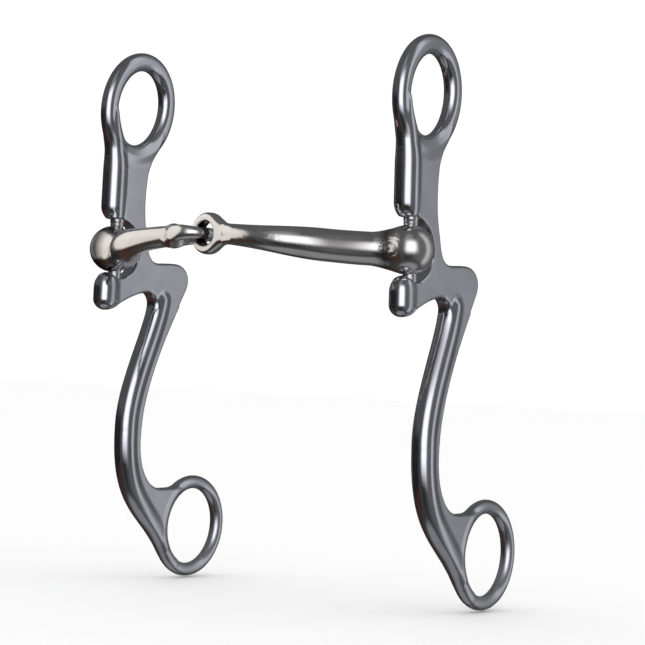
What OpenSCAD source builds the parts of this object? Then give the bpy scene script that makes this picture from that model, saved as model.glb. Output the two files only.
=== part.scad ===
// Loose-cheek curb bit with a jointed, curved mouth.
// X runs across the mouth, -Y is the front, +Y the back and +Z is up.
// The origin is midway between the two upright swivel pins, level with the mouth's balls.

/* [Mouth] */
// Distance between the two swivel pins with the mouth at rest
pin_spread = 118.4; // [110:0.2:126]
// How far the middle joint lies in front of the pins
joint_forward = 30.2; // [28:0.2:34]
// How far the middle joint lies above the middle of the balls
joint_rise = 3; // [0:0.2:3.6]
// Angle between the row's X axis and the end of each half at the joint
end_angle = 8; // [4:1:12]
// Angle at which each half leaves its ball
start_angle = 20; // [10:1:40]
// Diameter of each half near its ball
canon_d = 10.4; // [9:0.1:11]
// How far the left half's middle line sags between its ball and its loop
left_sag = 0.9; // [-2:0.1:2]
// How far the right half's middle line sags between its ball and its eye, below nothing when it arches
right_sag = -1.4; // [-2:0.1:2]
// Diameter of each half just before its eye
canon_neck_d = 6.2; // [5.6:0.1:6.6]

/* [Balls and pins] */
// Diameter of the ball at the outer end of each half
ball_d = 15.2; // [14:0.1:16]
// How far the ball's middle lies in front of its pin
ball_forward = 1; // [0:0.1:2]
// How far the ball's middle lies outside its pin
ball_out = 0.6; // [0:0.1:1]
// Diameter of the swivel pins
pin_d = 4.4; // [4:0.1:4.4]
// Play between a pin and the bore through its ball, on the radius
pin_play = 0.06; // [0.02:0.01:0.1]

/* [Eyes] */
// Diameter of the hole through the upright eye
eye_hole_d = 7.8; // [7.6:0.1:8.2]
// Outer diameter of the upright eye
eye_d = 13; // [12.6:0.1:13.6]
// Width of the upright eye along its hole
eye_w = 4.4; // [4:0.1:4.6]
// Thickness of the lying loop across its hole
loop_rod_d = 3.7; // [3.4:0.1:3.8]
// Radius of the lying loop, to the middle of its rod
loop_r = 6.2; // [6:0.1:6.6]
// Gap between the loop and the wall of the eye it goes round
loop_gap = 1; // [0.8:0.1:1.2]
// Height of the lying loop at its root
loop_root_h = 7; // [6.6:0.1:7.4]

/* [Cheeks] */
// Angle by which each cheek hangs out of plumb, its foot splayed outward
splay = 1; // [0:0.1:2]
// Thickness of the flat web of each cheek
web_t = 5; // [4.8:0.1:5.4]
// Diameter of the rounded bead along the front edge
bead_d = 7.4; // [6.4:0.1:7.8]
// Radius of the notch that the ball turns in
notch_r = 9.9; // [9.6:0.1:10.2]
// Half the headstall ring's length, to the middle of its section
top_ring_long = 16.6; // [16:0.1:17]
// Half the headstall ring's width, to the middle of its section
top_ring_short = 14; // [13.6:0.1:14.6]
// Angle that the headstall ring's length makes with the level
top_ring_lean = 58; // [50:1:66]
// Height of the headstall ring's section, from its hole to its rim
top_ring_h = 6.2; // [5.6:0.1:6.4]
// Thickness of the headstall ring across the cheek
top_ring_t = 5.2; // [4:0.1:5.4]
// Radius of the rein ring, to the middle of its section
rein_ring_r = 15.7; // [15:0.1:16]
// Diameter of the rein ring's section
rein_ring_d = 4.2; // [3.8:0.1:4.6]

/* [Hidden] */
$fn = 96;
LEFT = -1;
RIGHT = 1;

pin_x = pin_spread / 2;
steel = [0.62, 0.62, 0.65];
mouth_steel = [0.80, 0.79, 0.76];
pin_steel = [0.55, 0.55, 0.58];

// Middles of the two rings and the notch, as [y, z] in the plane of a cheek.
top_ring = [7.8, 49.1];
rein_ring = [47.8, -95.1];
notch = [0, 0.5];
land = 0.12;                 // depth of the cylindrical wall cut into the rein ring's hole
land_half = 0.7;             // half of that wall's length
cheek_drop = 0.4;            // how far the cheeks' outlines are set below the balls' middles

// The ends of a pin: the blind end in the neck and the end filed flush under the lug.
pin_top = 22;
pin_bottom = -18.2;

// ---- curves ----

// A point on the cubic curve through p[0] and p[3] with handles p[1] and p[2].
function cubic(p, t) =
    pow(1 - t, 3) * p[0] + 3 * pow(1 - t, 2) * t * p[1] + 3 * (1 - t) * t * t * p[2] + t * t * t * p[3];
// The points of a chain of cubic curves, each given by its own four points.
function chain(curves, steps) =
    [for (c = curves) for (i = [0 : steps - 1]) cubic(c, i / steps)];
// The value at t in a table of [t, value] pairs, eased from one pair to the next.
function eased(table, t) =
    let (n = len(table),
         k = max([for (i = [0 : n - 2]) if (t >= table[i][0]) i]),
         u = min(1, (t - table[k][0]) / (table[k + 1][0] - table[k][0])))
    table[k][1] + (table[k + 1][1] - table[k][1]) * (3 * u * u - 2 * u * u * u);
function unit(v) = v / norm(v);

// A round bar along points, with one radius for each point and flat ends.
module bar(points, radii, sides = 20, side_axis = [0, 0, 1]) {
    n = len(points);
    rings = [for (i = [0 : n - 1])
        let (ahead = unit(points[min(n - 1, i + 1)] - points[max(0, i - 1)]),
             across = unit(cross(side_axis, ahead)),
             upward = cross(ahead, across))
        for (k = [0 : sides - 1])
            points[i] + radii[i] * (cos(360 * k / sides) * across + sin(360 * k / sides) * upward)];
    walls = [for (i = [0 : n - 2]) for (k = [0 : sides - 1])
        let (a = i * sides + k, b = i * sides + (k + 1) % sides)
        each [[a, b, b + sides], [a, b + sides, a + sides]]];
    start = [for (k = [0 : sides - 1]) k];
    finish = [for (k = [sides - 1 : -1 : 0]) (n - 1) * sides + k];
    polyhedron(points = rings, faces = concat(walls, [start], [finish]), convexity = 4);
}

// Turns a flat outline drawn as [y, z] into a web of thickness t across X.
module web(t) {
    translate([-t / 2, 0, 0]) rotate([90, 0, 90]) linear_extrude(t) children();
}

// ---- cheek ----

// Neck: from the headstall ring down behind the notch to the arm.
neck_outline = chain([
    [[-4, 44], [-3, 36], [-1.4, 30], [-0.6, 24]],
    [[-0.6, 24], [0, 20], [0.4, 14], [0.4, 10.6]],
    [[0.4, 10.6], [0.6, 6], [0.8, 2], [1, -4]],
    [[1, -4], [1, -8], [4, -12], [8, -12]],
    [[8, -12], [14, -13], [22, -13], [28, -10]],
    [[28, -10], [30, -6], [29, -3], [28, -3]],
    [[28, -3], [18, -3.6], [15.5, -3.6], [14, 5]],
    [[14, 5], [11.4, 13], [11.8, 20], [12.8, 27]],
    [[12.8, 27], [14.7, 33], [18.4, 36], [18.4, 42]]], 8);

// Lug and arm: from the lug under the ball back to the corner of the seven.
arm_outline = chain([
    [[-4.4, -9], [-1, -8.6], [2, -8.8], [5, -8.6]],
    [[5, -8.6], [12, -6], [14, -3.6], [22, -3.2]],
    [[22, -3.2], [25, -3], [27, -2.8], [30, -2.8]],
    [[30, -2.8], [36, -2.8], [39.4, -7.4], [36.2, -12.4]],
    [[36.2, -12.4], [33.4, -17], [30, -23], [27.4, -28]],
    [[27.4, -28], [24, -28], [20, -24], [20.6, -19]],
    [[20.6, -19], [20, -14], [17, -13.2], [14.5, -13.6]],
    [[14.5, -13.6], [9, -14.6], [4, -16.6], [0, -18.8]],
    [[0, -18.8], [-3, -19.8], [-4.4, -18], [-4.4, -16]]], 8);

// Shank: the web behind the bead, down to the rein ring.
shank_outline = chain([
    [[24.2, -16], [22.5, -28], [9.4, -46], [10.2, -61]],
    [[10.2, -61], [10.4, -80], [22, -90], [33, -102]],
    [[33, -102], [36, -98], [37, -85], [40, -82]],
    [[40, -82], [34, -80], [27, -83.4], [21.6, -78.4]],
    [[21.6, -78.4], [15, -72], [16, -62], [17.2, -54]],
    [[17.2, -54], [20.6, -38], [32, -20], [34, -17]]], 10);

// The middle line and the radius of the bead on the shank, from its dome to the rein ring.
shank_bead = [
    [[24.2, -16], [22.5, -28], [9.4, -46], [10.2, -61]],
    [[10.2, -61], [10.4, -76], [19.4, -85.6], [27.4, -94.6]],
    [[27.4, -94.6], [30.6, -98.4], [33, -104], [39, -107.8]]];
shank_bead_r = [[0, 1], [0.7, 1], [0.88, 0.66], [1, 0.45]];

// The middle line and the radius of the bead on the neck, from the ring down to the nose.
neck_bead = [[-6.4, 45], [-4.4, 38], [-2.6, 33], [-2.6, 26]];
neck_bead_r = [[0, 0.78], [0.5, 0.9], [1, 1.1]];
nose_z = 10.4;               // lowest point of the bead on the neck
lug_y = -4.4;

function in_cheek(p) = [0, p[0], p[1]];

// Moves a ball to its place on the swivel pin, which leans with the splayed cheek.
module at_pin(side) {
    translate([side * pin_x, 0, 0]) rotate([0, -side * splay, 0]) children();
}
// Moves a cheek and its pin to their place.
module at_cheek(side) {
    at_pin(side) translate([0, 0, -cheek_drop]) children();
}

module neck_bead() {
    steps = 8;
    r = bead_d / 2 * neck_bead_r[2][1];
    y = neck_bead[3][0];
    // The straight stretch narrows to a rounded nose, which leans back over the pin.
    nose_h = 5.1;
    nose_back = 1.4;
    nose = [0 : 0.2 : 1];
    bar([for (i = [0 : steps]) in_cheek(cubic(neck_bead, i / steps)),
            for (u = nose) in_cheek([y + nose_back * u * u, nose_z + nose_h * (1 - u)])],
        [for (i = [0 : steps]) bead_d / 2 * eased(neck_bead_r, i / steps),
            for (u = nose) r * sqrt(1 - 0.52 * u * u)],
        side_axis = [1, 0, 0]);
}

module lug() {
    r = bead_d / 2 + 0.1;
    bottom = -20.3;
    top = -7.5;
    flat_r = 0.8;            // radius of the small flat under the ball
    translate([0, lug_y, 0]) rotate_extrude()
        polygon([for (a = [0 : 10 : 90]) [r * sin(a), bottom + r - r * cos(a)],
                 [r, top + flat_r - r], [flat_r, top], [0, top]]);
}

// The swelling of the web around the foot of the pin
module pin_boss() {
    boss_d = pin_d + 1.8;
    foot = -17.6;
    translate([0, 0, foot]) cylinder(d = boss_d, h = -8.6 - foot);
}

module shank_bead() {
    points = chain(shank_bead, 9);
    last = len(points) - 1;
    r = bead_d / 2;
    start = points[0];
    back = unit(points[0] - points[1]);
    dome = [for (a = [80 : -20 : 20]) start + r * sin(a) * back];
    dome_r = [for (a = [80 : -20 : 20]) r * cos(a)];
    bar([for (p = dome) in_cheek(p), for (p = points) in_cheek(p)],
        concat(dome_r, [for (i = [0 : last]) r * eased(shank_bead_r, i / last)]), side_axis = [1, 0, 0]);
}

module in_top_ring() {
    translate(in_cheek(top_ring)) rotate([0, 90, 0]) rotate([0, 0, 90 + top_ring_lean]) children();
}

// The headstall ring: an oval swept with a section taller than it is thick
module top_ring() {
    turns = 72;
    sides = 16;
    half = (top_ring_h - top_ring_t) / 2;
    points = [for (i = [0 : turns - 1])
        let (a = 360 * i / turns,
             outward = unit([top_ring_short * cos(a), top_ring_long * sin(a), 0]))
        for (k = [0 : sides - 1])
            let (b = 360 * (k + 0.5) / sides)
            [top_ring_long * cos(a), top_ring_short * sin(a), top_ring_t / 2 * sin(b)]
                + (half * sign(cos(b)) + top_ring_t / 2 * cos(b)) * outward];
    faces = [for (i = [0 : turns - 1]) for (k = [0 : sides - 1])
        let (here = i * sides, next = ((i + 1) % turns) * sides, up = (k + 1) % sides)
        each [[here + k, next + up, next + k], [here + k, here + up, next + up]]];
    in_top_ring() polyhedron(points = points, faces = faces, convexity = 4);
}

// Clears the web and the bead out of the headstall ring, to the middle of its section.
module top_ring_clearing() {
    in_top_ring() linear_extrude(20, center = true)
        polygon([for (a = [0 : 7.5 : 352.5]) [top_ring_long * cos(a), top_ring_short * sin(a)]]);
}

module rein_ring() {
    translate(in_cheek(rein_ring)) rotate([0, 90, 0]) rotate_extrude()
        translate([rein_ring_r, 0]) circle(d = rein_ring_d);
}

// Radius of the cylindrical wall in the rein ring's hole.
rein_hole_r = rein_ring_r - rein_ring_d / 2 + land;

// The rein ring's hole: a short cylindrical wall with a wide bevel on either side of it
module rein_ring_hole() {
    bevel_h = 4;
    bevel = 1.2;             // how far the bevel opens for each unit of its depth
    translate(in_cheek(rein_ring)) for (turn = [90, -90]) rotate([0, turn, 0]) {
        cylinder(r = rein_hole_r, h = land_half);
        translate([0, 0, land_half]) cylinder(r1 = rein_hole_r, r2 = rein_hole_r + bevel * bevel_h, h = bevel_h);
    }
}

module cheek(side) {
    color(steel) at_cheek(side) difference() {
        union() {
            difference() {
                union() {
                    web(web_t) difference() {
                        union() {
                            polygon(neck_outline);
                            polygon(arm_outline);
                            polygon(shank_outline);
                        }
                        translate(notch) circle(r = notch_r);
                    }
                    neck_bead();
                }
                top_ring_clearing();
            }
            top_ring();
            rein_ring();
            lug();
            pin_boss();
            shank_bead();
        }
        rein_ring_hole();
        translate([0, 0, pin_bottom - 6]) cylinder(d = pin_d, h = pin_top - pin_bottom + 6);
    }
}

module cheek_left() { cheek(LEFT); }
module cheek_right() { cheek(RIGHT); }

// ---- swivel pins ----

// A turned pin with a collar just above the ball, ground to the slope of the web under the lug.
module swivel_pin(side) {
    collar_d = pin_d + 1.2;
    collar_h = 1.1;
    color(pin_steel) at_cheek(side) {
        translate([0, 0, pin_bottom]) cylinder(d = pin_d, h = pin_top - pin_bottom);
        translate([0, 0, nose_z - collar_h]) cylinder(d = collar_d, h = collar_h);
    }
}

module swivel_pin_left() { swivel_pin(LEFT); }
module swivel_pin_right() { swivel_pin(RIGHT); }

// ---- mouth halves ----

// Pivot of the joint: the middle of the upright eye's end wall.
pivot = [0, -joint_forward, joint_rise];
// Directions from the pivot towards each ball, level.
function outward(side) = [side * cos(end_angle), -sin(end_angle), 0];

eye_mid_r = (eye_d + eye_hole_d) / 4;
eye_centre = pivot + outward(RIGHT) * eye_mid_r;
loop_centre = pivot + outward(LEFT) * (loop_r - (eye_d - eye_hole_d) / 4 - loop_gap - loop_rod_d / 2);

// The middle line of a half, from the middle of its ball to just outside its eye.
function half_line(side, last) =
    let (ball_reach = 22,
         end_reach = 30,
         end_drop = side == LEFT ? 1.2 : 4.2,
         first = [side * pin_x, -ball_forward, 0])
    [first, first + ball_reach * [-side * cos(start_angle), -sin(start_angle), -0.1],
     last + end_reach * outward(side) - [0, 0, end_drop], last];

// Radius along a half, as a share of its way from the thick end to the thin one, with a flare at the ball.
left_taper = [[0, 2], [0.2, 1], [0.55, 0.95], [1, 0.12]];
right_taper = [[0, 2], [0.2, 1], [0.45, 0.93], [1, 0.05]];

module half_bar(side, last) {
    line = half_line(side, last);
    sag = side == LEFT ? left_sag : right_sag;
    taper = side == LEFT ? left_taper : right_taper;
    steps = 22;
    bar([for (i = [0 : steps]) cubic(line, i / steps) - [0, 0, 4 * sag * (i / steps) * (1 - i / steps)]],
        [for (i = [0 : steps])
            (canon_neck_d + (canon_d - canon_neck_d) * eased(taper, i / steps)) / 2], sides = 24);
}

module ball(side) {
    at_pin(side) translate([side * ball_out, -ball_forward, 0]) sphere(d = ball_d);
}

// The bore that a half turns on, right through its ball
module ball_bore(side) {
    at_pin(side) translate([0, 0, -20]) cylinder(r = pin_d / 2 + pin_play, h = 40);
}

root_drop = 0.6;             // how far the loop's root hangs below its far end

// The lying loop: tall at its root on the left, and round where it passes through the eye
module loop() {
    turns = 60;
    sides = 16;
    points = [for (i = [0 : turns - 1])
        let (a = 360 * i / turns,
             root = max(0, -cos(a) + 0.8) / 1.8,
             half_h = loop_rod_d / 2 * (1 - root) + loop_root_h / 2 * root,
             middle = [0, 0, -root_drop * max(0, -cos(a))])
        for (k = [0 : sides - 1])
            let (b = 360 * (k + 0.5) / sides)
            (loop_r + loop_rod_d / 2 * cos(b)) * [cos(a), sin(a), 0] + [0, 0, half_h * sin(b)] + middle];
    faces = [for (i = [0 : turns - 1]) for (k = [0 : sides - 1])
        let (here = i * sides, next = ((i + 1) % turns) * sides, up = (k + 1) % sides)
        each [[here + k, next + up, next + k], [here + k, here + up, next + up]]];
    translate(loop_centre) rotate([0, 0, end_angle]) polyhedron(points = points, faces = faces, convexity = 4);
}

// Left half: it ends in a loop that lies flat.
module mouth_half_left() {
    color(mouth_steel) difference() {
        union() {
            ball(LEFT);
            difference() {
                half_bar(LEFT, loop_centre + outward(LEFT) * (loop_r + 0.3) - [0, 0, root_drop]);
                translate(loop_centre - [0, 0, 10]) cylinder(r = loop_r, h = 20);
            }
            loop();
        }
        ball_bore(LEFT);
    }
}

// Right half: it ends in an upright eye with flat faces and chamfered rims.
module mouth_half_right() {
    chamfer = 0.9;
    rim_r = eye_d / 2;
    hole_r = eye_hole_d / 2;
    hole_chamfer = 0.5;
    half_w = eye_w / 2;
    color(mouth_steel) difference() {
        union() {
            ball(RIGHT);
            half_bar(RIGHT, eye_centre + outward(RIGHT) * (eye_mid_r + 0.4));
            translate(eye_centre) rotate([0, 0, -end_angle]) rotate([90, 0, 0])
                rotate_extrude() polygon([[1, -half_w], [rim_r - chamfer, -half_w], [rim_r, chamfer - half_w],
                    [rim_r, half_w - chamfer], [rim_r - chamfer, half_w], [1, half_w]]);
        }
        ball_bore(RIGHT);
        translate(eye_centre) rotate([0, 0, -end_angle]) rotate([90, 0, 0]) {
            cylinder(r = hole_r, h = 20, center = true);
            for (turn = [0, 180]) rotate([turn, 0, 0]) translate([0, 0, half_w - hole_chamfer])
                cylinder(r1 = hole_r, r2 = hole_r + 1.5, h = 1.5);
        }
    }
}

cheek_left();
cheek_right();
swivel_pin_left();
swivel_pin_right();
mouth_half_left();
mouth_half_right();
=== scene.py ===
"""A loose-cheek curb bit with a jointed, curved mouth, in polished and satin steel.

The cheeks and the mouth halves are built as smooth solids from distance fields, in millimetres, in the
frame of the CAD model.
"""
import math

import bpy
import numpy as np
from mathutils import Matrix, Vector


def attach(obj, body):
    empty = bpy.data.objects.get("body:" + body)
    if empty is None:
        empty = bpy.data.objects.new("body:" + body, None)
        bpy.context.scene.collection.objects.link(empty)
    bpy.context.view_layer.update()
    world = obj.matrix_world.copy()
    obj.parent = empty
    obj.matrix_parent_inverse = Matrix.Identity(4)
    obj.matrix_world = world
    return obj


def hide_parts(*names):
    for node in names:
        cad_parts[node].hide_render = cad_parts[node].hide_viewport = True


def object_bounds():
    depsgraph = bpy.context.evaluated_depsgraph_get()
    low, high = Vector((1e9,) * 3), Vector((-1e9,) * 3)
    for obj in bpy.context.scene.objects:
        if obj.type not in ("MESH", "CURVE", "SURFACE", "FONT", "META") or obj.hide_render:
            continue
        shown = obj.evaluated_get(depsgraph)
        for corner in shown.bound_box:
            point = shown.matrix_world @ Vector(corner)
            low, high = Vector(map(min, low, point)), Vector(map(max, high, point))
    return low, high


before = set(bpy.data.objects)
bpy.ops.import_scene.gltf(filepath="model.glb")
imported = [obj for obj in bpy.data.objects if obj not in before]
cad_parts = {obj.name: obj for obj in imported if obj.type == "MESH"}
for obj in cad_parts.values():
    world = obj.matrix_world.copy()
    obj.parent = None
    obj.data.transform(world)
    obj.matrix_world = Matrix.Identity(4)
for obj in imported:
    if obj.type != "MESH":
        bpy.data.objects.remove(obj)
cad_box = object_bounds()

MM = 0.001
LEFT, RIGHT = -1, 1

# Sizes shared with the CAD model, in millimetres and degrees
PIN_X = 59.2
SPLAY = 1.0
CHEEK_DROP = 0.4
PIN_D = 4.4
PIN_PLAY = 0.06
PIN_TOP = 22.0
PIN_BOTTOM = -18.2
BALL_D = 15.2
BALL_FORWARD = 1.0
BALL_OUT = 0.6
BEAD_R = 3.7
WEB_T = 5.0
NOSE_Z = 10.4
PIVOT = np.array([0.0, -30.2, 3.0])
END_ANGLE = 8.0
START_ANGLE = 20.0


# ---- distance fields ----

def smooth_min(a, b, k):
    """The lower of two fields, rounded over a width of k where they cross."""
    h = np.maximum(k - np.abs(a - b), 0.0) / k
    return np.minimum(a, b) - h * h * k * 0.25


def smooth_max(a, b, k):
    return -smooth_min(-a, -b, k)


def rising(value, start, width):
    """0 up to the start, then rising evenly to 1 over the width."""
    return np.clip((value - start) / width, 0, 1)


def cubic(p, t):
    p = np.asarray(p, float)
    t = np.asarray(t, float)[:, None]
    return (1 - t) ** 3 * p[0] + 3 * (1 - t) ** 2 * t * p[1] + 3 * (1 - t) * t * t * p[2] + t ** 3 * p[3]


def chain(curves, steps):
    """Points along joined cubic curves, without the last one."""
    return np.vstack([cubic(c, np.arange(steps) / steps) for c in curves])


def eased(table, t):
    """The value at t in a table of (t, value) pairs, eased from one pair to the next."""
    table = np.asarray(table, float)
    k = np.clip(np.searchsorted(table[:, 0], t, side="right") - 1, 0, len(table) - 2)
    u = np.clip((t - table[k, 0]) / (table[k + 1, 0] - table[k, 0]), 0, 1)
    return table[k, 1] + (table[k + 1, 1] - table[k, 1]) * (3 * u * u - 2 * u ** 3)


def polygon_field(points, y, z):
    """Signed distance to a closed outline in the plane, negative inside."""
    best = np.full(y.shape, 1e9)
    inside = np.zeros(y.shape, bool)
    ends = np.roll(points, -1, axis=0)
    for (ay, az), (by, bz) in zip(points, ends):
        ey, ez = by - ay, bz - az
        length2 = ey * ey + ez * ez
        if length2 < 1e-12:
            continue
        py, pz = y - ay, z - az
        t = np.clip((py * ey + pz * ez) / length2, 0, 1)
        best = np.minimum(best, (py - t * ey) ** 2 + (pz - t * ez) ** 2)
        if az != bz:
            crosses = (az > z) != (bz > z)
            inside ^= crosses & (y < ay + (z - az) * ey / ez)
    return np.where(inside, -1.0, 1.0) * np.sqrt(best)


def path_field(points, radii, *at):
    """Distance to the nearest point of a path, and the radius there, in two or three dimensions."""
    best = np.full(at[0].shape, 1e9)
    radius = np.zeros(at[0].shape)
    for a, b, ra, rb in zip(points[:-1], points[1:], radii[:-1], radii[1:]):
        e = b - a
        length2 = float(e @ e)
        p = [c - ai for c, ai in zip(at, a)]
        t = np.clip(sum(pi * ei for pi, ei in zip(p, e)) / length2, 0, 1)
        d2 = sum((pi - t * ei) ** 2 for pi, ei in zip(p, e))
        near = d2 < best
        best = np.where(near, d2, best)
        radius = np.where(near, ra + t * (rb - ra), radius)
    return np.sqrt(best), radius


# ---- meshing ----

def surface_net(values, low, step):
    """Quads on the zero surface of a grid of values, with one vertex in each cell that it crosses."""
    inside = values < 0
    n = np.array(values.shape)
    count = np.zeros(n - 1, np.int8)
    corners = [(i, j, k) for i in (0, 1) for j in (0, 1) for k in (0, 1)]
    for i, j, k in corners:
        count += inside[i:n[0] - 1 + i, j:n[1] - 1 + j, k:n[2] - 1 + k]
    active = (count > 0) & (count < 8)
    cell = np.argwhere(active)
    index = np.full(active.shape, -1, np.int64)
    index[active] = np.arange(len(cell))
    total = np.zeros((len(cell), 3))
    hits = np.zeros(len(cell))
    for axis in range(3):
        others = [a for a in range(3) if a != axis]
        for p in (0, 1):
            for q in (0, 1):
                start = np.zeros(3, int)
                start[others[0]], start[others[1]] = p, q
                end = start.copy()
                end[axis] = 1
                va = values[tuple((cell + start).T)]
                vb = values[tuple((cell + end).T)]
                cross = (va < 0) != (vb < 0)
                t = np.where(cross, va / np.where(cross, va - vb, 1), 0)
                spot = start + t[:, None] * (end - start)
                total += np.where(cross[:, None], spot, 0)
                hits += cross
    vertices = low + (cell + total / hits[:, None]) * step
    quads = []
    for axis in range(3):
        b, c = [(axis + 1) % 3, (axis + 2) % 3]
        here = [slice(None)] * 3
        there = [slice(None)] * 3
        here[axis], there[axis] = slice(0, n[axis] - 1), slice(1, n[axis])
        s0, s1 = inside[tuple(here)], inside[tuple(there)]
        for flip, change in ((False, s0 & ~s1), (True, ~s0 & s1)):
            at = np.argwhere(change)
            at = at[(at[:, b] > 0) & (at[:, c] > 0)]
            ring = []
            for db, dc in ((-1, -1), (0, -1), (0, 0), (-1, 0)):
                w = at.copy()
                w[:, b] += db
                w[:, c] += dc
                ring.append(index[tuple(w.T)])
            quad = np.stack(ring[::-1] if flip else ring, axis=1)
            quads.append(quad)
    return vertices, np.vstack(quads)


def gradient(field, v, eps=0.03):
    g = np.empty_like(v)
    for axis in range(3):
        d = np.zeros(3)
        d[axis] = eps
        g[:, axis] = (field(*(v + d).T) - field(*(v - d).T)) / (2 * eps)
    return g


def build(field, grid_values, low, step):
    """Vertices drawn onto the field's exact surface, quads, and the surface's own normals."""
    v, quads = surface_net(grid_values, low, step)
    for _ in range(2):
        g = gradient(field, v)
        size2 = np.maximum((g * g).sum(1), 0.05)
        move = -(field(*v.T) / size2)[:, None] * g
        reach = np.linalg.norm(move, axis=1)
        move *= np.minimum(1, 0.5 * step / np.maximum(reach, 1e-9))[:, None]
        v = v + move
    g = gradient(field, v)
    normals = g / np.maximum(np.linalg.norm(g, axis=1), 1e-9)[:, None]
    return v, quads, normals


def make_piece(name, v, quads, normals, material, body, node, attributes=()):
    mesh = bpy.data.meshes.new(name)
    mesh.vertices.add(len(v))
    mesh.vertices.foreach_set("co", (v * MM).astype(np.float32).ravel())
    mesh.loops.add(quads.size)
    mesh.loops.foreach_set("vertex_index", quads.astype(np.int32).ravel())
    mesh.polygons.add(len(quads))
    mesh.polygons.foreach_set("loop_start", np.arange(0, quads.size, 4, dtype=np.int32))
    mesh.update(calc_edges=True)
    mesh.validate()
    mesh.shade_smooth()
    mesh.normals_split_custom_set_from_vertices(normals.astype(np.float32).tolist())
    for key, values in attributes:
        layer = mesh.attributes.new(key, "FLOAT", "POINT")
        layer.data.foreach_set("value", values.astype(np.float32))
    mesh.materials.append(material)
    piece = bpy.data.objects.new(name, mesh)
    bpy.context.scene.collection.objects.link(piece)
    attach(piece, body)
    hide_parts(node)
    return piece


# ---- the cheek, in its own plane: x across, y back, z up ----

NECK = [
    [[-4, 44], [-3, 36], [-1.4, 30], [-0.6, 24]],
    [[-0.6, 24], [0, 20], [0.4, 14], [0.4, 10.6]],
    [[0.4, 10.6], [0.6, 6], [0.8, 2], [1, -4]],
    [[1, -4], [1, -8], [4, -12], [8, -12]],
    [[8, -12], [14, -13], [22, -13], [28, -10]],
    [[28, -10], [30, -6], [29, -3], [28, -3]],
    [[28, -3], [18, -3.6], [15.5, -3.6], [14, 5]],
    [[14, 5], [11.4, 13], [11.8, 20], [12.8, 27]],
    [[12.8, 27], [14.7, 33], [18.4, 36], [18.4, 42]]]
ARM = [
    [[-4.4, -9], [-1, -8.6], [2, -8.8], [5, -8.6]],
    [[5, -8.6], [12, -6], [14, -3.6], [22, -3.2]],
    [[22, -3.2], [25, -3], [27, -2.8], [30, -2.8]],
    [[30, -2.8], [36, -2.8], [39.4, -7.4], [36.2, -12.4]],
    [[36.2, -12.4], [33.4, -17], [30, -23], [27.4, -28]],
    [[27.4, -28], [24, -28], [20, -24], [20.6, -19]],
    [[20.6, -19], [20, -14], [17, -13.2], [14.5, -13.6]],
    [[14.5, -13.6], [9, -14.6], [4, -16.6], [0, -18.8]],
    [[0, -18.8], [-3, -19.8], [-4.4, -18], [-4.4, -16]]]
SHANK = [
    [[24.2, -16], [22.5, -28], [9.4, -46], [10.2, -61]],
    [[10.2, -61], [10, -82], [20, -91], [33, -103]],
    [[33, -103], [36, -98], [37, -85], [40, -82]],
    [[40, -82], [34, -80], [27, -83.4], [21.6, -78.4]],
    [[21.6, -78.4], [15, -72], [16, -62], [17.2, -54]],
    [[17.2, -54], [20.6, -38], [32, -20], [34, -17]]]
SHANK_BEAD = [
    [[24.2, -16], [22.5, -28], [9.4, -46], [10.2, -61]],
    [[10.2, -61], [10, -71], [12.4, -78.4], [16.6, -83.6]],
    [[16.6, -83.6], [20.4, -88.3], [24, -91], [27.4, -94.6]],
    [[27.4, -94.6], [30.6, -98.4], [33, -104], [39, -107.8]]]
NECK_BEAD = [
    [[-6.4, 45], [-4.4, 38], [-2.6, 33], [-2.6, 26]],
    [[-2.6, 26], [-2.6, 18], [-2.6, 10], [-2.6, 4]]]


def outlines(detail):
    """The cheek's outlines and bead lines as points, with so many times the usual number."""
    shank_bead = np.vstack([chain(SHANK_BEAD, 14 * detail), [SHANK_BEAD[-1][-1]]])
    neck_bead = np.vstack([chain(NECK_BEAD, 10 * detail), [NECK_BEAD[-1][-1]]])
    t = np.linspace(0, 1, len(shank_bead))
    u = np.linspace(0, 1, len(neck_bead))
    return {
        "neck": chain(NECK, 10 * detail),
        "arm": chain(ARM, 10 * detail),
        "shank": chain(SHANK, 12 * detail),
        "top": oval(TOP_RING, TOP_RING_LONG, TOP_RING_SHORT, TOP_RING_LEAN, 80 * detail),
        "rein": oval(REIN_RING, REIN_RING_LONG, REIN_RING_SHORT, REIN_RING_LEAN, 80 * detail),
        "shank_bead": (shank_bead, BEAD_R * eased([[0, 1], [0.55, 1], [1, 0.45]], t)),
        "neck_bead": (neck_bead, BEAD_R * eased([[0, 0.78], [0.25, 0.9], [0.5, 1.1], [1, 1.1]], u)),
    }


TOP_RING = np.array([7.8, 49.1])
TOP_RING_LONG, TOP_RING_SHORT, TOP_RING_LEAN = 16.6, 14.0, 58.0
TOP_RING_H, TOP_RING_T = 6.2, 5.2
REIN_RING = np.array([47.8, -95.1])
REIN_RING_LONG, REIN_RING_SHORT, REIN_RING_LEAN = 15.8, 15.4, 38.0
REIN_RING_D = 4.6
NOTCH = np.array([0.0, 0.5])
NOTCH_R = 9.9
LUG_Y = -4.4
LUG_R = BEAD_R + 0.1
LUG_BOTTOM, LUG_TOP = -20.3, -7.5
WEB_BLEND = 0.4
NECK_Y = -2.6
NOSE_H, NOSE_BACK = 5.1, 1.4
# The shank's bead melts into the rein ring below this height, over this drop
MELT_Z, MELT_DROP = -86.0, 8.0


def oval(middle, long, short, lean, steps):
    a = np.linspace(0, 2 * math.pi, steps, endpoint=False)
    c, s = math.cos(math.radians(lean)), math.sin(math.radians(lean))
    p, q = long * np.cos(a), short * np.sin(a)
    return middle + np.c_[p * c - q * s, p * s + q * c]


COARSE, FINE = outlines(1), outlines(3)


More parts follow.
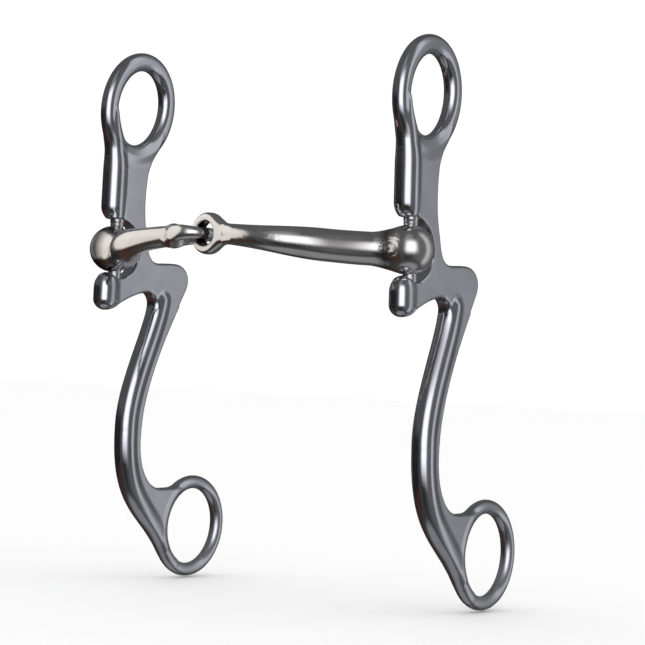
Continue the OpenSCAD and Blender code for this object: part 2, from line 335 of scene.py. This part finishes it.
def cheek_plane(y, z, lines=FINE):
    """What the cheek's field needs from the plane: distances and radii that don't depend on x."""
    neck, arm, shank, top, rein = (polygon_field(lines[key], y, z)
                                   for key in ("neck", "arm", "shank", "top", "rein"))
    web = smooth_min(smooth_min(neck, arm, WEB_BLEND), shank, WEB_BLEND)
    web = np.maximum(np.maximum(web, -top), -rein)
    return {
        "web": web, "top": top, "rein": rein,
        "neck_bead": path_field(*lines["neck_bead"], y, z),
        "shank_bead": path_field(*lines["shank_bead"], y, z),
        "notch": np.hypot(y - NOTCH[0], z - NOTCH[1]) - NOTCH_R,
    }


def cheek_solid(f, x, y, z):
    """The cheek's field at x, from the plane's fields f."""
    edge = 1.2
    qy = f["web"] + edge
    qx = np.abs(x) - WEB_T / 2 + edge
    web = np.minimum(np.maximum(qy, qx), 0) + np.hypot(np.maximum(qy, 0), np.maximum(qx, 0)) - edge
    half = (TOP_RING_H - TOP_RING_T) / 2
    top = np.hypot(np.maximum(np.abs(f["top"]) - half, 0), x) - TOP_RING_T / 2
    rein = np.hypot(f["rein"], x) - REIN_RING_D / 2
    neck_bead = np.hypot(f["neck_bead"][0], x) - f["neck_bead"][1]
    # The bead narrows to a rounded nose over the ball.
    down = np.clip(NOSE_Z + NOSE_H - z, 0, None)
    nose = np.hypot(np.hypot(y - NECK_Y - NOSE_BACK * (down / NOSE_H) ** 2, x) / 4.2, down / 7.05)
    neck_bead = smooth_max(smooth_max(neck_bead, NOSE_Z - z, 0.5), (nose - 1) * 4.2, 0.6)
    shank_bead = np.hypot(f["shank_bead"][0], x) - f["shank_bead"][1]
    along = np.clip(z, LUG_BOTTOM + LUG_R, LUG_TOP)
    lug_radial = np.hypot(y - LUG_Y, x)
    lug = np.hypot(lug_radial, z - along) - LUG_R
    lug = smooth_max(lug, z - LUG_TOP, 0.5)
    lug = smooth_max(lug, (lug_radial + z - (LUG_TOP + LUG_R - 2.7)) * 0.7071, 1.8)
    web = smooth_max(web, -f["notch"], 0.7)
    body = smooth_min(web, neck_bead, 0.9)
    body = smooth_min(body, shank_bead, 0.9 + 0.9 * rising(MELT_Z - z, 0, MELT_DROP))
    body = smooth_min(body, lug, 2.4)
    body = smooth_min(body, top, 1.6)
    body = smooth_min(body, rein, 1.6)
    bore = np.maximum(np.hypot(y, x) - PIN_D / 2 - 0.03, np.maximum(z - PIN_TOP, -z))
    return smooth_max(body, -bore, 0.25)


def cheek_field(x, y, z):
    return cheek_solid(cheek_plane(y, z), x, y, z)


def build_cheek(step):
    low = np.array([-6.0, -13.0, -116.5])
    high = np.array([6.0, 68.0, 68.5])
    n = np.ceil((high - low) / step).astype(int) + 1
    # A grid that is even about x = 0 keeps the two faces alike.
    half = n[0] // 2
    xs = (np.arange(-half, half + 1) + 0.5) * step
    ys = low[1] + np.arange(n[1]) * step
    zs = low[2] + np.arange(n[2]) * step
    y2, z2 = np.meshgrid(ys, zs, indexing="ij")
    plane = cheek_plane(y2, z2, COARSE)
    values = np.stack([cheek_solid(plane, np.full_like(y2, x), y2, z2) for x in xs])
    return build(cheek_field, values, np.array([xs[0], ys[0], zs[0]]), step)


def placed_cheek(side, v, normals, quads):
    """The cheek's mesh in the row frame; the left one is its mirror image."""
    flip = np.array([side, 1, 1])
    a = math.radians(-side * SPLAY)
    turn = np.array([[math.cos(a), 0, math.sin(a)], [0, 1, 0], [-math.sin(a), 0, math.cos(a)]])
    w = (v * flip - [0, 0, CHEEK_DROP]) @ turn.T + [side * PIN_X, 0, 0]
    return w, (normals * flip) @ turn.T, quads if side == RIGHT else quads[:, ::-1]


# ---- the mouth halves ----

def outward(side):
    a = math.radians(END_ANGLE)
    return np.array([side * math.cos(a), -math.sin(a), 0.0])


LOOP_ROD_D, LOOP_R, LOOP_GAP = 3.7, 6.2, 1.0
EYE_D, EYE_HOLE_D, EYE_W = 13.0, 7.8, 4.4
EYE_BORE_D = 7.4
EYE_BLEND, EYE_CHAMFER = 3.0, 0.9
EYE_MID_R = (EYE_D + EYE_HOLE_D) / 4
EYE = PIVOT + outward(RIGHT) * EYE_MID_R
LOOP = PIVOT + outward(LEFT) * (LOOP_R - (EYE_D - EYE_HOLE_D) / 4 - LOOP_GAP - LOOP_ROD_D / 2)
CANON_D, CANON_NECK_D = 10.4, 6.2
TAPER = {LEFT: [[0, 2], [0.2, 1], [0.55, 0.95], [1, 0.12]],
         RIGHT: [[0, 2], [0.2, 1], [0.45, 0.93], [1, 0.05]]}
SAG = {LEFT: 0.9, RIGHT: -1.4}
END_DROP = {LEFT: 1.2, RIGHT: 4.2}
LOOP_ROOT_H, ROOT_DROP = 6.2, 0.8


def half_line(side, last, steps):
    ball_reach, end_reach = 22, 30
    first = np.array([side * PIN_X, -BALL_FORWARD, 0.0])
    a = math.radians(START_ANGLE)
    t = np.linspace(0, 1, steps)
    line = cubic([first, first + ball_reach * np.array([-side * math.cos(a), -math.sin(a), -0.1]),
                  last + end_reach * outward(side) - [0, 0, END_DROP[side]], last], t)
    line[:, 2] -= 4 * SAG[side] * t * (1 - t)
    radii = (CANON_NECK_D + (CANON_D - CANON_NECK_D) * eased(TAPER[side], t)) / 2
    return line, radii


def ball_and_bore(side, body, x, y, z):
    """A half's body joined to its ball, with the bore for the swivel pin."""
    a = math.radians(-side * SPLAY)
    bx = side * PIN_X
    ball = np.sqrt((x - bx - side * BALL_OUT) ** 2 + (y + BALL_FORWARD) ** 2 + z ** 2) - BALL_D / 2
    solid = smooth_min(body, ball, 1.2)
    u = (x - bx) * math.cos(a) - z * math.sin(a)
    bore = np.hypot(u, y) - PIN_D / 2 - PIN_PLAY
    return smooth_max(solid, -bore, 0.5)


LAST = {LEFT: LOOP + outward(LEFT) * (LOOP_R + 0.3) - [0, 0, ROOT_DROP],
        RIGHT: EYE + outward(RIGHT) * (EYE_MID_R + 0.4)}
COARSE_LINE = {side: half_line(side, LAST[side], 44) for side in (LEFT, RIGHT)}
FINE_LINE = {side: half_line(side, LAST[side], 240) for side in (LEFT, RIGHT)}


def mouth_left_field(x, y, z, lines=FINE_LINE):
    d, r = path_field(*lines[LEFT], x, y, z)
    canon = d - r
    px, py, pz = x - LOOP[0], y - LOOP[1], z - LOOP[2]
    radial = np.hypot(px, py)
    o = outward(LEFT)
    # The loop is tall at its root and round where it passes through the eye.
    root = (px * o[0] + py * o[1]) / np.maximum(radial, 1e-6)
    share = np.clip(root + 0.8, 0, None) / 1.8
    half_h = LOOP_ROD_D / 2 * (1 - share) + LOOP_ROOT_H / 2 * share
    lift = pz + ROOT_DROP * np.clip(root, 0, None)
    loop = (np.hypot((radial - LOOP_R) / (LOOP_ROD_D / 2), lift / half_h) - 1) * LOOP_ROD_D / 2
    canon = smooth_max(canon, LOOP_R - radial, 0.5)
    return ball_and_bore(LEFT, smooth_min(canon, loop, 2.2), x, y, z)


def mouth_right_field(x, y, z, lines=FINE_LINE):
    d, r = path_field(*lines[RIGHT], x, y, z)
    o = outward(RIGHT)
    px, py, pz = x - EYE[0], y - EYE[1], z - EYE[2]
    along = px * o[0] + py * o[1]
    across = -px * o[1] + py * o[0]
    radial = np.hypot(along, pz)
    # The eye's flat faces run on as a tongue that widens into the bar.
    flat = np.abs(across) - (EYE_W / 2 + 0.32 * np.maximum(along - 7.5, 0) + 2 * np.maximum(along - 12, 0))
    profile = smooth_min(d - r, radial - EYE_D / 2, EYE_BLEND)
    body = smooth_max(profile, flat, 0.6)
    body = smooth_max(body, (profile + flat + EYE_CHAMFER) * 0.7071, 0.5)
    hole = EYE_BORE_D / 2 - radial
    hole_edge = (EYE_BORE_D / 2 + 0.25 - radial + np.abs(across) - EYE_W / 2) * 0.7071
    body = smooth_max(smooth_max(body, hole, 0.4), hole_edge, 0.4)
    return ball_and_bore(RIGHT, body, x, y, z)


def build_half(field, low, high, step):
    low, high = np.array(low), np.array(high)
    n = np.ceil((high - low) / step).astype(int) + 1
    ys = low[1] + np.arange(n[1]) * step
    zs = low[2] + np.arange(n[2]) * step
    y2, z2 = np.meshgrid(ys, zs, indexing="ij")
    values = np.stack([field(np.full_like(y2, low[0] + i * step), y2, z2, COARSE_LINE)
                       for i in range(n[0])])
    return build(field, values, low, step)


# ---- materials ----

def steel(name, colour, roughness, satin=None, painted_shade=False):
    """Polished steel: faint clouding, fine scratches and tiny waves left by polishing."""
    m = bpy.data.materials.new(name)
    m.use_nodes = True
    nodes, links = m.node_tree.nodes, m.node_tree.links
    shader = nodes["Principled BSDF"]
    shader.inputs["Metallic"].default_value = 1.0
    coord = nodes.new("ShaderNodeTexCoord")

    def noise(scale, detail, rough=0.5, stretch=None):
        n = nodes.new("ShaderNodeTexNoise")
        n.inputs["Scale"].default_value = scale
        n.inputs["Detail"].default_value = detail
        n.inputs["Roughness"].default_value = rough
        if stretch:
            mapping = nodes.new("ShaderNodeMapping")
            mapping.inputs["Scale"].default_value = stretch
            links.new(coord.outputs["Object"], mapping.inputs["Vector"])
            links.new(mapping.outputs["Vector"], n.inputs["Vector"])
        else:
            links.new(coord.outputs["Object"], n.inputs["Vector"])
        return n.outputs["Fac"]

    def span(value, low, high, to_low, to_high):
        r = nodes.new("ShaderNodeMapRange")
        for key, v in (("From Min", low), ("From Max", high), ("To Min", to_low), ("To Max", to_high)):
            r.inputs[key].default_value = v
        links.new(value, r.inputs["Value"])
        return r.outputs["Result"]

    def math_node(op, a, b):
        n = nodes.new("ShaderNodeMath")
        n.operation = op
        for socket, value in zip(n.inputs, (a, b)):
            if isinstance(value, (int, float)):
                socket.default_value = value
            else:
                links.new(value, socket)
        return n.outputs[0]

    cloud = noise(90, 4, 0.55)
    grain = noise(900, 3, 0.6, (1, 1, 0.25))
    scratch = noise(2600, 2, 0.5, (1, 1, 0.03))
    colour_mix = nodes.new("ShaderNodeMix")
    colour_mix.data_type = "RGBA"
    colour_mix.inputs["A"].default_value = (*[c * 0.9 for c in colour], 1)
    colour_mix.inputs["B"].default_value = (*[min(1, c * 1.06) for c in colour], 1)
    links.new(span(cloud, 0.3, 0.7, 0, 1), colour_mix.inputs["Factor"])
    tint = colour_mix.outputs["Result"]
    # Painted shade: the base colour is darkened nearly to black where the mesh's shade attribute is 1
    if painted_shade:
        shade_attribute = nodes.new("ShaderNodeAttribute")
        shade_attribute.attribute_name = "painted_shade"
        darken = nodes.new("ShaderNodeMix")
        darken.data_type = "RGBA"
        darken.inputs["B"].default_value = (0.07, 0.068, 0.068, 1)
        links.new(shade_attribute.outputs["Fac"], darken.inputs["Factor"])
        links.new(tint, darken.inputs["A"])
        tint = darken.outputs["Result"]
    links.new(tint, shader.inputs["Base Color"])
    rough = math_node("ADD", span(cloud, 0.3, 0.7, roughness * 0.85, roughness * 1.2),
                      span(scratch, 0.62, 0.75, 0, 0.06))
    if satin is not None:
        mask = nodes.new("ShaderNodeAttribute")
        mask.attribute_name = "satin"
        rough = math_node("ADD", rough, span(mask.outputs["Fac"], 0, 1, 0, satin))
    links.new(rough, shader.inputs["Roughness"])
    bump = nodes.new("ShaderNodeBump")
    bump.inputs["Strength"].default_value = 0.12
    bump.inputs["Distance"].default_value = 0.00005
    links.new(math_node("ADD", math_node("MULTIPLY", grain, 0.6), math_node("MULTIPLY", scratch, 0.4)),
              bump.inputs["Height"])
    links.new(bump.outputs["Normal"], shader.inputs["Normal"])
    return m


cheek_steel = steel("cheek_steel", (0.61, 0.62, 0.67), 0.11, satin=0.22)
# The mouth's steel darkens its colour where the mesh carries painted shade
mouth_steel = steel("mouth_steel", (0.69, 0.675, 0.66), 0.19, painted_shade=True)
pin_steel = steel("pin_steel", (0.7, 0.7, 0.71), 0.24)

# ---- pieces ----

STEP = 0.45
v, quads, normals = build_cheek(STEP)
plane = cheek_plane(v[:, 1], v[:, 2])
bead_gap = np.minimum(np.minimum(plane["neck_bead"][0] - plane["neck_bead"][1],
                                 plane["shank_bead"][0] - plane["shank_bead"][1]),
                      np.minimum(np.abs(plane["top"]) - 4.2, np.abs(plane["rein"]) - REIN_RING_D / 2))
# Satin on the web's flat faces, clear of the beads and rings, and more and more down the lower shank
SATIN_Z, SATIN_DROP, SATIN_LOW = -74.0, 16.0, 0.7
satin = rising(bead_gap, 0.2, 0.8) * rising(np.abs(normals[:, 0]), 0.9, 0.08)
satin = np.maximum(satin, SATIN_LOW * rising(SATIN_Z - v[:, 2], 0, SATIN_DROP))
for side, word in ((LEFT, "left"), (RIGHT, "right")):
    w, wn, wq = placed_cheek(side, v, normals, quads)
    make_piece("cheek_%s_steel" % word, w, wq, wn, cheek_steel, "%s_cheek" % word,
               "cheek_%s" % word, [("satin", satin)])


def along_half(points, side):
    """How far each point lies from the middle of its ball, along the half's axis."""
    start = math.radians(START_ANGLE)
    across = (points[:, 0] - side * (PIN_X + BALL_OUT)) * -side
    return across * math.cos(start) - (points[:, 1] + BALL_FORWARD) * math.sin(start)


# Painted shade: the base colour is darkened on the left ball, where it holds back the left lamp's
# reflection, in the right ball's crease and inside the eye;
# each place is measured in millimetres from the middle of the ball, or from the middle of the eye.
BALL_SHADE_REACH, BALL_FADE = 1.5, 4.0
CREASE, CREASE_FADE, CREASE_SHADE = 6.5, 3.0, 0.75
BORE_SHADE_REACH, BORE_FADE, BORE_SHADE = EYE_BORE_D / 2 + 0.2, 0.3, 0.9

hv, hq, hn = build_half(mouth_left_field, (-69, -41, -10), (8, 9, 10), STEP)
# Painted shade over the left ball, fading out along the bar
painted_shade = 1 - rising(along_half(hv, LEFT), BALL_SHADE_REACH, BALL_FADE)
mouth_left = make_piece("mouth_left_steel", hv, hq, hn, mouth_steel, "left_mouth", "mouth_half_left",
                        [("painted_shade", painted_shade)])

hv, hq, hn = build_half(mouth_right_field, (-4, -41, -10), (69, 9, 12), STEP)
px, py, pz = (hv - EYE).T
bore_r = np.hypot(px * outward(RIGHT)[0] + py * outward(RIGHT)[1], pz)
# Painted shade in the right ball's crease and inside the eye's bore
crease = CREASE_SHADE * (1 - rising(np.abs(along_half(hv, RIGHT) - CREASE), 0, CREASE_FADE))
painted_shade = np.maximum(crease, BORE_SHADE * (1 - rising(bore_r, BORE_SHADE_REACH, BORE_FADE)))
mouth_right = make_piece("mouth_right_steel", hv, hq, hn, mouth_steel, "right_mouth", "mouth_half_right",
                         [("painted_shade", painted_shade)])


def turned_pin(side, word):
    """The swivel pin as a lathe would leave it, with its collar over the ball."""
    r = PIN_D / 2
    top = NOSE_Z - 0.02
    profile = [(0, PIN_BOTTOM), (r - 0.25, PIN_BOTTOM), (r, PIN_BOTTOM + 0.25), (r, top - 1.9),
               (r + 0.08, top - 1.75), (r + 0.08, top - 1.45), (r, top - 1.3), (r + 0.05, top - 1.1),
               (r + 0.16, top - 0.9), (r + 0.16, top), (r, top), (r, PIN_TOP - 0.2), (0, PIN_TOP - 0.2)]
    turns = 64
    a = math.radians(-side * SPLAY)
    turn = np.array([[math.cos(a), 0, math.sin(a)], [0, 1, 0], [-math.sin(a), 0, math.cos(a)]])
    verts, faces = [], []
    for rr, zz in profile[1:-1]:
        for k in range(turns):
            t = 2 * math.pi * k / turns
            verts.append((rr * math.cos(t), rr * math.sin(t), zz))
    rows = len(profile) - 2
    for i in range(rows - 1):
        for k in range(turns):
            k2 = (k + 1) % turns
            faces.append((i * turns + k, i * turns + k2, (i + 1) * turns + k2, (i + 1) * turns + k))
    faces.append(tuple(range(turns))[::-1])
    faces.append(tuple((rows - 1) * turns + k for k in range(turns)))
    w = (np.array(verts) - [0, 0, CHEEK_DROP]) @ turn.T + [side * PIN_X, 0, 0]
    mesh = bpy.data.meshes.new("pin_%s" % word)
    mesh.from_pydata((w * MM).tolist(), [], faces)
    mesh.shade_smooth()
    mesh.set_sharp_from_angle(angle=math.radians(35))
    mesh.materials.append(pin_steel)
    piece = bpy.data.objects.new("swivel_pin_%s_steel" % word, mesh)
    bpy.context.scene.collection.objects.link(piece)
    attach(piece, "%s_cheek" % word)
    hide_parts("swivel_pin_%s" % word)


turned_pin(LEFT, "left")
turned_pin(RIGHT, "right")

# ---- stage: floor, studio light and camera ----

floor_mesh = bpy.data.meshes.new("floor")
half_floor = 3.0
floor_z = cad_box[0][2] - 0.0005
corners = [(x * half_floor, y * half_floor, floor_z) for x, y in ((-1, -1), (1, -1), (1, 1), (-1, 1))]
floor_mesh.from_pydata(corners, [], [(0, 1, 2, 3)])
floor = bpy.data.objects.new("floor", floor_mesh)
bpy.context.scene.collection.objects.link(floor)
pale = bpy.data.materials.new("pale_floor")
pale.use_nodes = True
pale.node_tree.nodes["Principled BSDF"].inputs["Base Color"].default_value = (0.97, 0.97, 0.97, 1)
pale.node_tree.nodes["Principled BSDF"].inputs["Roughness"].default_value = 0.9
floor_mesh.materials.append(pale)
floor.visible_glossy = False

bpy.context.scene.view_settings.view_transform = "Standard"

world = bpy.data.worlds.new("studio")
bpy.context.scene.world = world
world.use_nodes = True
wn, wl = world.node_tree.nodes, world.node_tree.links
wn.clear()
coord = wn.new("ShaderNodeTexCoord")
split = wn.new("ShaderNodeSeparateXYZ")
wl.new(coord.outputs["Generated"], split.inputs["Vector"])


def world_math(op, *args):
    n = wn.new("ShaderNodeMath")
    n.operation = op
    for socket, value in zip(n.inputs, args):
        if isinstance(value, (int, float)):
            socket.default_value = value
        else:
            wl.new(value, socket)
    return n.outputs[0]


# Directions round the object, in degrees: bearing is 0 towards the camera's side and grows to its right,
# height is above the level.
CAMERA_AZIMUTH = math.degrees(math.atan2(-537.36, 406.43))
bearing = world_math("ARCTAN2", split.outputs["Y"], split.outputs["X"])
bearing = world_math("MULTIPLY", bearing, 180 / math.pi)
bearing = world_math("WRAP", world_math("SUBTRACT", bearing, CAMERA_AZIMUTH), 180, -180)
height = world_math("MULTIPLY", world_math("ARCSINE", split.outputs["Z"]), 180 / math.pi)


def band(value, low, high, soft):
    """1 between low and high, falling smoothly to 0 over the width soft on either side."""
    n = wn.new("ShaderNodeMapRange")
    n.interpolation_type = "SMOOTHSTEP"
    middle, half = (low + high) / 2, (high - low) / 2
    wl.new(world_math("ABSOLUTE", world_math("SUBTRACT", value, middle)), n.inputs["Value"])
    for key, v in (("From Min", half - soft / 2), ("From Max", half + soft / 2),
                   ("To Min", 1.0), ("To Max", 0.0)):
        n.inputs[key].default_value = v
    return n.outputs["Result"]


def lay(under, colour, mask):
    """A colour laid over what is under it, where the mask is 1."""
    n = wn.new("ShaderNodeMix")
    n.data_type = "RGBA"
    n.clamp_result = False
    wl.new(mask, n.inputs["Factor"])
    if isinstance(under, tuple):
        n.inputs["A"].default_value = (*under, 1)
    else:
        wl.new(under, n.inputs["A"])
    n.inputs["B"].default_value = (*colour, 1)
    return n.outputs["Result"]


def grey(level):
    return (level, level, level * 1.03)


# Soft boxes and black flags: bearing from and to, height from and to, softness, colour
BOXES = [
    (-180, 180, -90, -48, 16, grey(0.05)),
    (-180, 180, -90, -62, 14, grey(0.32)),
    (-180, 180, 68, 91, 24, grey(0.12)),
    (-182, -50, -46, 9, 14, grey(0.02)),
    (-182, -50, -44, -24, 10, (0.07, 0.035, 0.028)),
    (34, 72, -46, 60, 18, grey(0.15)),
    (76, 126, -46, 60, 20, grey(0.26)),
    (78, 104, -46, 60, 16, grey(0.66)),
    (-38, 12, -50, 0, 20, grey(0.04)),
    (-38, 12, 34, 72, 20, grey(0.3)),
    (-22, 27, -12, 38, 26, grey(1.75)),
]
result = grey(0.1)
for b0, b1, h0, h1, soft, colour in BOXES:
    box = world_math("MULTIPLY", band(bearing, b0, b1, soft), band(height, h0, h1, soft))
    result = lay(result, colour, box)
studio = wn.new("ShaderNodeBackground")
studio.inputs["Strength"].default_value = 1.0
wl.new(result, studio.inputs["Color"])
white = wn.new("ShaderNodeBackground")
white.inputs["Color"].default_value = (1, 1, 1, 1)
white.inputs["Strength"].default_value = 1.06
path = wn.new("ShaderNodeLightPath")
chooser = wn.new("ShaderNodeMixShader")
output = wn.new("ShaderNodeOutputWorld")
wl.new(path.outputs["Is Glossy Ray"], chooser.inputs["Fac"])
wl.new(white.outputs["Background"], chooser.inputs[1])
wl.new(studio.outputs["Background"], chooser.inputs[2])
wl.new(chooser.outputs["Shader"], output.inputs["Surface"])

# Two large soft lamps in front on the left, each aimed at one mouth half alone
def soft_lamp(name, piece, bearing_at, height_at, across, level):
    lamp_data = bpy.data.lights.new(name, "SUN")
    lamp_data.angle = math.radians(across)
    lamp_data.color = (1.0, 0.955, 0.91)
    lamp_data.energy = level * math.pi * math.sin(math.radians(across / 2)) ** 2
    lamp = bpy.data.objects.new(name, lamp_data)
    azimuth, up = math.radians(CAMERA_AZIMUTH + bearing_at), math.radians(height_at)
    towards = Vector((math.cos(azimuth) * math.cos(up), math.sin(azimuth) * math.cos(up), math.sin(up)))
    lamp.rotation_euler = towards.to_track_quat("Z", "Y").to_euler()
    bpy.context.scene.collection.objects.link(lamp)
    lit = bpy.data.collections.new(name + "_lights")
    lit.objects.link(piece)
    lamp.light_linking.receiver_collection = lit


soft_lamp("lamp_left", mouth_left, -98, 14, 92, 1.0)
soft_lamp("lamp_right", mouth_right, -100, 10, 80, 1.0)

# The camera's place and aim, found from the object's own known proportions
CAMERA_AT = (0.40643, -0.53736, -0.03397)
CAMERA_BEARING, CAMERA_TILT, CAMERA_ROLL = 35.190, -0.9687, 2.2698
FOCAL_IN_WIDTHS = 2093.56 / 645
bearing_r, tilt_r, roll_r = (math.radians(a) for a in (CAMERA_BEARING, CAMERA_TILT, CAMERA_ROLL))
forward = Vector((-math.sin(bearing_r) * math.cos(tilt_r), math.cos(bearing_r) * math.cos(tilt_r),
                  -math.sin(tilt_r)))
level = Vector((math.cos(bearing_r), math.sin(bearing_r), 0))
upright = level.cross(forward)
right = level * math.cos(roll_r) + upright * math.sin(roll_r)
top = right.cross(forward)
camera_data = bpy.data.cameras.new("camera")
camera_data.sensor_width = 36
camera_data.lens = 36 * FOCAL_IN_WIDTHS
camera_data.clip_start = 0.01
camera = bpy.data.objects.new("camera", camera_data)
camera.matrix_world = Matrix((
    (right.x, top.x, -forward.x, CAMERA_AT[0]),
    (right.y, top.y, -forward.y, CAMERA_AT[1]),
    (right.z, top.z, -forward.z, CAMERA_AT[2]),
    (0, 0, 0, 1)))
bpy.context.scene.collection.objects.link(camera)
bpy.context.scene.camera = camera
